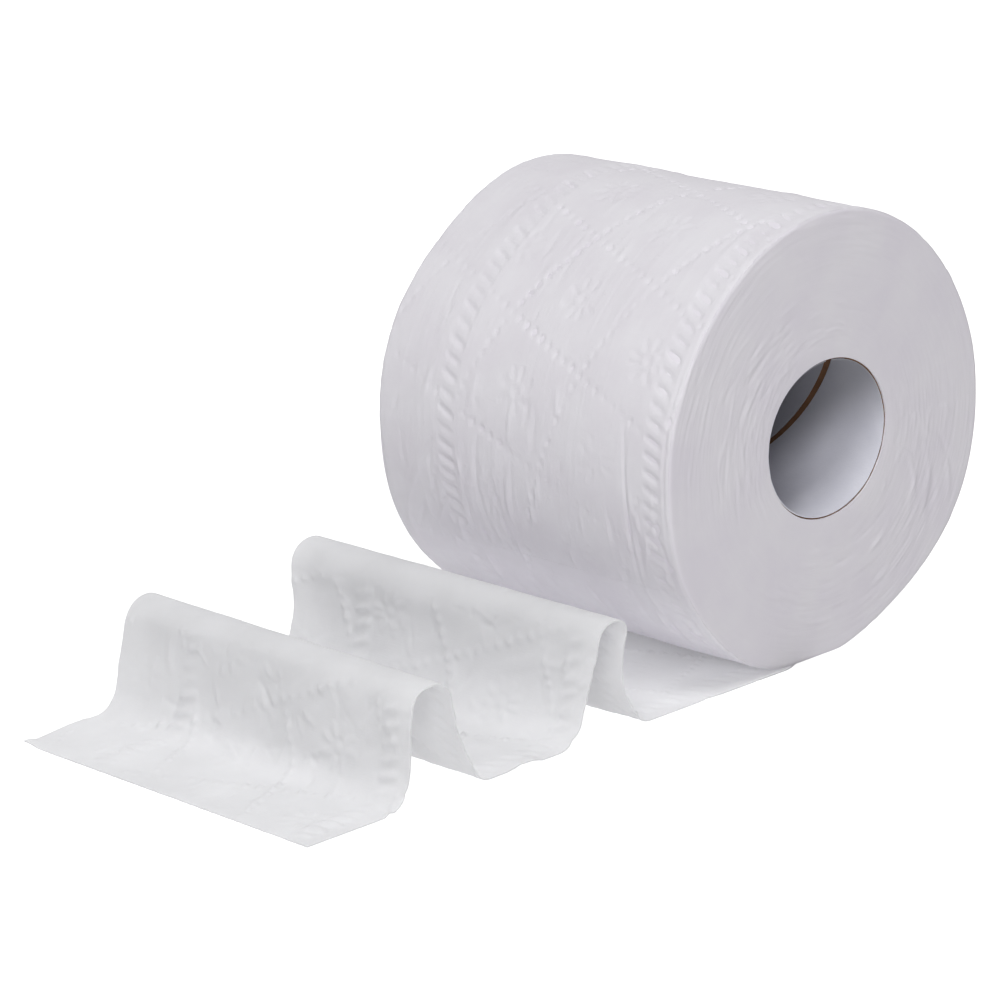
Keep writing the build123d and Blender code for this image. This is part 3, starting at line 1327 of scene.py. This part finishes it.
@dataclass(frozen=True)
class Tissue:
    """Finish of the creped tissue: matt, faintly mottled, with fibres and crepe lines in its bump.

    The grains follow the sheet's own coordinates. On an end of the roll they follow (radius, direction),
    which stretches them round the axis and has no seam. The mottle is a noise, as (scale, detail, roughness).
    """

    name: str
    low: Colour
    high: Colour
    translucency: float = 0.0
    on_sheet: bool = True
    mottle: Triple = (70.0, 3.0, 0.55)
    mottle_limits: Pair = (0.35, 0.65)
    direction_scale: float = 0.004
    roughness: float = 0.95
    specular: float = 0.15
    sheet_grains: tuple[Grain, ...] = (
        Grain((0.45, 1.0, 1.0), 1500.0, 3.0, 0.65, strength=0.35, distance=0.00012),
        Grain((1.0, 0.16, 1.0), 2600.0, 2.0, 0.5, strength=0.3, distance=0.0001),
        Grain((0.1, 1.0, 1.0), 900.0, 2.0, 0.5, strength=0.5, distance=0.00022),
    )
    end_grains: tuple[Grain, ...] = (
        Grain((1.0, 1.0, 1.0), 1500.0, 3.0, 0.65, strength=0.35, distance=0.00012),
        Grain((1.0, 1.0, 1.0), 900.0, 2.0, 0.5, strength=0.3, distance=0.0001),
    )

    def relief(self, nodes: Nodes) -> Socket:
        """Adds the grains of the sheet, or of an end of the roll.

        Args:
            nodes: The material's tree.

        Returns:
            The socket of the normal.
        """
        if self.on_sheet:
            return nodes.relief(nodes.add("ShaderNodeUVMap", uv_map="sheet").outputs["UV"], self.sheet_grains)
        x, _, z = nodes.parts(nodes.place())
        squares = nodes.math("ADD", nodes.math("MULTIPLY", x, x), nodes.math("MULTIPLY", z, z))
        radius = nodes.math("SQRT", squares)
        inputs = {0: radius}
        for number, side in enumerate((x, z), start=1):
            inputs[number] = nodes.math("MULTIPLY", nodes.math("DIVIDE", side, radius), self.direction_scale)
        return nodes.relief(nodes.add("ShaderNodeCombineXYZ", inputs).outputs[0], self.end_grains)

    def build(self) -> bpy.types.Material:
        """Builds the material, which lets light through where it has a translucency.

        Returns:
            The new material.
        """
        material, nodes = start_material(self.name)
        mottle = nodes.noise(nodes.place(), *self.mottle)
        colour = nodes.ramp(mottle, (linear(self.low), linear(self.high)), self.mottle_limits)
        normal = self.relief(nodes)
        shader = nodes.matt(colour, normal, self.roughness, self.specular)
        if self.translucency:
            through = nodes.add("ShaderNodeBsdfTranslucent", {"Color": colour, "Normal": normal})
            shader = nodes.mix(self.translucency, shader, through.outputs[0])
        nodes.show(shader)
        return material


@dataclass(frozen=True)
class Board:
    """Finish of wound paper board: matt, with long fibres round the tube and a few darker specks.

    Its colour carries painted shade: it is darkened within the core, more on its upper side, as if less light
    reached there. The colour falls to the given share as |y| - slope z falls from one limit to the other, in
    metres. The clouds and the specks are noises, each as (scale, detail, roughness).
    """

    name: str
    low: Colour
    high: Colour
    speck: Colour
    speck_share: float
    # Share of the colour that the painted shade leaves deep in the core; 1 paints no shade.
    painted_shade_share: float = 1.0
    painted_shade_slope: float = 1.5
    painted_shade_limits: Pair = (0.024, 0.050)
    clouds: Triple = (140.0, 4.0, 0.6)
    cloud_limits: Pair = (0.3, 0.7)
    specks: Triple = (2600.0, 2.0, 0.7)
    speck_limits: Pair = (0.66, 0.74)
    roughness: float = 0.85
    specular: float = 0.25
    grains: tuple[Grain, ...] = (Grain((1.0, 0.3, 1.0), 1900.0, 3.0, 0.7, strength=0.4, distance=0.00012),)

    def build(self) -> bpy.types.Material:
        """Builds the material.

        Returns:
            The new material.
        """
        material, nodes = start_material(self.name)
        place = nodes.place()
        clouds = nodes.noise(place, *self.clouds)
        plain = nodes.ramp(clouds, (linear(self.low), linear(self.high)), self.cloud_limits)
        mask = nodes.ramp(nodes.noise(place, *self.specks), (BLACK, WHITE), self.speck_limits)
        share = nodes.math("MULTIPLY", mask, self.speck_share)
        inputs = {0: share, 6: plain, 7: linear(self.speck)}
        specked = nodes.add("ShaderNodeMix", inputs, data_type="RGBA").outputs[2]
        # Painted shade: the colour is darkened deep in the core and more on its upper side.
        _, y, z = nodes.parts(place)
        out = nodes.math("SUBTRACT", nodes.math("ABSOLUTE", y), nodes.math("MULTIPLY", z, self.painted_shade_slope))
        shade = nodes.fade(out, self.painted_shade_limits, (self.painted_shade_share, 1.0))
        colour = nodes.add("ShaderNodeVectorMath", {0: specked, "Scale": shade}, operation="SCALE").outputs[0]
        nodes.show(nodes.matt(colour, nodes.relief(place, self.grains), self.roughness, self.specular))
        return material


@dataclass(frozen=True)
class Lamp:
    """A square area lamp: where it hangs and the length of its side in metres, and its power in watts."""

    name: str
    place: Triple
    size: float
    power: float


@dataclass(frozen=True)
class Patch:
    """An oval patch of the floor, with its middle at a place on X, that shines more as a light, or less."""

    middle: float
    half_length: float
    half_width: float
    strength: float


def turn_to(item: bpy.types.Object, axes: tuple[Array, Array, Array], place: Array) -> None:
    """Turns an object and puts it in its place.

    Args:
        item: The object.
        axes: Where its own X, Y and Z point, each one unit long.
        place: Its place in metres.
    """
    matrix = np.eye(4)
    matrix[:3] = np.column_stack([*axes, place])
    item.matrix_world = matrix.T.tolist()


@dataclass(frozen=True)
class Studio:
    """White sweep, soft light from above and a camera at the photograph's viewing angle."""

    floor: float
    azimuth: float = -44.93
    elevation: float = 16.65
    tilt: float = -1.02
    distance: float = 971.42
    target: Triple = (-63.08, 0.0, -10.60)
    focal_pixels: float = 4104.4
    image_pixels: float = 1000.0
    sensor: float = 36.0
    clip: Pair = (0.01, 50.0)
    max_bounces: int = 12
    diffuse_bounces: int = 10
    sky_light: float = 0.06
    sky_slope: Triple = (0.0, 0.0, 0.44)
    floor_light: float = 0.67
    floor_glow: float = 0.78
    floor_grey: float = 0.78
    floor_size: float = 4.0
    patches: tuple[Patch, ...] = (Patch(-14.5, 18.5, 60.0, -1.0), Patch(-50.0, 24.0, 56.0, 1.05))
    patch_limits: Pair = (0.6, 1.1)
    lamps: tuple[Lamp, ...] = (
        Lamp("key", (-0.36, -0.3, 1.2), 0.45, 5.6),
        Lamp("back", (0.9, 1.0, 0.5), 0.6, 3.6),
        Lamp("side", (-1.0, -0.72, 0.45), 0.45, 4.5),
    )
    lamp_target: Triple = (-0.05, 0.0, 0.0)
    lamp_side: Triple = (0.0, 1.0, 0.01)

    def camera(self) -> None:
        """Makes the camera look at its target from the photograph's direction.

        The way back from the target is (sin az cos el, -cos az cos el, sin el), and the tilt turns the
        picture about the line of sight.
        """
        data = bpy.data.cameras.new("camera")
        data.sensor_fit = "HORIZONTAL"
        data.sensor_width = self.sensor
        data.lens = self.focal_pixels / self.image_pixels * self.sensor
        data.clip_start, data.clip_end = self.clip
        azimuth, elevation, tilt = (math.radians(a) for a in (self.azimuth, self.elevation, self.tilt))
        level = math.cos(elevation)
        back = np.array([math.sin(azimuth) * level, -math.cos(azimuth) * level, math.sin(elevation)])
        side = np.cross(-back, (0.0, 0.0, 1.0))
        side /= np.linalg.norm(side)
        up = np.cross(side, -back)
        right = math.cos(tilt) * side + math.sin(tilt) * up
        top = -math.sin(tilt) * side + math.cos(tilt) * up
        camera = added("camera", data)
        turn_to(camera, (right, top, back), (np.array(self.target) + back * self.distance) * METRES)
        bpy.context.scene.camera = camera

    def floor_strength(self, nodes: Nodes) -> Socket:
        """Floor's strength as a light: none in the nip, and more under the thin flat sheet.

        It is floor_light (1 + the sum of strength x patch), where a patch is 1 in its middle and fades to 0
        past its rim.

        Args:
            nodes: The floor's tree.

        Returns:
            The socket of the strength.
        """
        total = 1.0
        for patch in self.patches:
            inputs = {
                "Vector": nodes.place(),
                "Location": (-patch.middle / patch.half_length, 0.0, 0.0),
                "Scale": (1 / METRES / patch.half_length, 1 / METRES / patch.half_width, 0.0),
            }
            mapped = nodes.add("ShaderNodeMapping", inputs).outputs["Vector"]
            reach = nodes.add("ShaderNodeVectorMath", {0: mapped}, operation="LENGTH").outputs["Value"]
            near = nodes.fade(reach, self.patch_limits, (1.0, 0.0))
            total = nodes.math("ADD", nodes.math("MULTIPLY", near, patch.strength), total)
        return nodes.math("MULTIPLY", nodes.math("MAXIMUM", total, 0.0), self.floor_light)

    def ground(self) -> None:
        """White floor: where it is seen it keeps the object's shadow, and as a light it is an even glow."""
        signs = ((-1, -1), (1, -1), (1, 1), (-1, 1))
        corners = [(self.floor_size * x, self.floor_size * y, self.floor * METRES) for x, y in signs]
        data = bpy.data.meshes.new("floor")
        data.from_pydata(corners, [], [(0, 1, 2, 3)])
        ground = added("floor", data)
        material, nodes = start_material("floor")
        grey = (self.floor_grey, self.floor_grey, self.floor_grey, 1.0)
        paint = nodes.add("ShaderNodeBsdfDiffuse", {"Color": grey}).outputs[0]
        glow = nodes.add("ShaderNodeEmission", {"Strength": self.floor_glow}).outputs[0]
        seen = nodes.add("ShaderNodeAddShader", {0: paint, 1: glow}).outputs[0]
        light = nodes.add("ShaderNodeEmission", {"Strength": self.floor_strength(nodes)}).outputs[0]
        path = nodes.add("ShaderNodeLightPath").outputs
        looks = nodes.math("ADD", path["Is Camera Ray"], path["Is Glossy Ray"])
        looks = nodes.math("MINIMUM", nodes.math("ADD", looks, path["Is Transmission Ray"]), 1.0)
        nodes.show(nodes.mix(looks, light, seen))
        data.materials.append(material)

    def sky(self) -> None:
        """Even white behind the object, and a light that grows from the horizon to the zenith.

        As a light, the sky's strength towards a direction d is sky_light + sky_slope . d.
        """
        world = bpy.data.worlds.new("studio")
        world.use_nodes = True
        nodes = Nodes(world.node_tree, "ShaderNodeOutputWorld")
        direction = nodes.add("ShaderNodeTexCoord").outputs["Generated"]
        slope = nodes.add("ShaderNodeVectorMath", {0: direction, 1: self.sky_slope}, operation="DOT_PRODUCT")
        strength = nodes.math("ADD", slope.outputs["Value"], self.sky_light)
        light = nodes.add("ShaderNodeBackground", {"Color": WHITE, "Strength": strength}).outputs[0]
        white = nodes.add("ShaderNodeBackground", {"Color": WHITE, "Strength": 1.0}).outputs[0]
        path = nodes.add("ShaderNodeLightPath").outputs
        seen = nodes.math("MAXIMUM", path["Is Camera Ray"], path["Is Transmission Ray"])
        nodes.show(nodes.mix(seen, light, white))
        bpy.context.scene.world = world

    def lights(self) -> None:
        """A soft lamp high above, a weak one behind the roll, and one low on the side of the loose end."""
        for lamp in self.lamps:
            data = bpy.data.lights.new(lamp.name, "AREA")
            data.shape = "SQUARE"
            data.size = lamp.size
            data.energy = lamp.power
            back = np.array(lamp.place) - np.array(self.lamp_target)
            back /= np.linalg.norm(back)
            side = np.cross(self.lamp_side, back)
            side /= np.linalg.norm(side)
            turn_to(added(lamp.name, data), (side, np.cross(back, side), back), np.array(lamp.place))

    def develop(self) -> None:
        """Keeps colours as they are, and lets light bounce often enough to fill the core."""
        scene = bpy.context.scene
        scene.view_settings.view_transform = "Standard"
        scene.cycles.max_bounces = self.max_bounces
        scene.cycles.diffuse_bounces = self.diffuse_bounces


def dress(piece: bpy.types.Object, material: bpy.types.Material, node: str) -> None:
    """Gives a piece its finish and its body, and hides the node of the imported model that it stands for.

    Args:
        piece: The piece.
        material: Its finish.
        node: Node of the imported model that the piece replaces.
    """
    piece.data.materials.append(material)
    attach(piece, "root")
    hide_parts(node)
    triangles = sum(len(p.vertices) - 2 for p in piece.data.polygons)
    LOG.info("%s: %d triangles", piece.name, triangles)


def span(node: str) -> tuple[Array, Array]:
    """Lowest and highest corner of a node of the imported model, in millimetres."""
    low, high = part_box(node)
    return np.array(low) / METRES, np.array(high) / METRES


def main() -> None:
    """Builds the studio and the object."""
    logging.basicConfig(level=logging.INFO, format="%(message)s")
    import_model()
    low, high = span("paper_roll")
    width, floor = float(high[1] - low[1]), float(low[2])
    core_recess = 0.55
    drawn_rows, torn_rows = 276, 214

    studio = Studio(floor=floor)
    studio.camera()
    studio.sky()
    studio.ground()
    studio.lights()

    wound = Tissue("tissue_wound", (233, 230, 236), (237, 235, 240)).build()
    ends = Tissue("tissue_ends", (236, 232, 240), (240, 237, 243), on_sheet=False).build()
    loose = Tissue("tissue_loose", (236, 236, 237), (239, 239, 240), translucency=0.5).build()
    brown = Board("board_brown", (98, 68, 46), (124, 90, 64), (60, 40, 28), 0.35).build()
    # The grey lining carries painted shade deep in the bore and on its upper side.
    grey = Board("board_grey", (234, 234, 244), (240, 240, 249), (192, 194, 202), 0.2, painted_shade_share=0.42).build()

    emboss = Emboss()
    loose_end = LooseEnd(width=width, floor=floor, tip=float(low[0]), emboss=emboss)
    total = float(loose_end.plain_surface()[0][-1])
    seat_radius = float(span("core_outer_ply")[1][2])
    roll = Roll(width=width, floor=floor, seat_radius=seat_radius, emboss=emboss)
    for number, (start, end) in enumerate(roll.squares(total), start=1):
        piece = roll.wrap_square(total, start, end).mesh(f"wrapped_square_{number}")
        dress(piece, wound, "paper_roll")
    dress(roll.inner_turns().mesh("inner_turns"), ends, "paper_roll")

    split = total - emboss.perforation_pitch
    drawn = loose_end.square(0.0, split, drawn_rows).mesh("drawn_square")
    torn = loose_end.square(split, total, torn_rows).mesh("torn_square")
    for piece, length in ((drawn, split), (torn, emboss.perforation_pitch)):
        dress(piece, loose, "paper_roll")

    core = Core(width=width - 2 * core_recess)
    dress(core.tube().mesh("core_tube"), brown, "core_outer_ply")
    dress(core.lining().mesh("core_lining"), grey, "core_inner_ply")

    studio.develop()


if __name__ == "__main__":
    main()
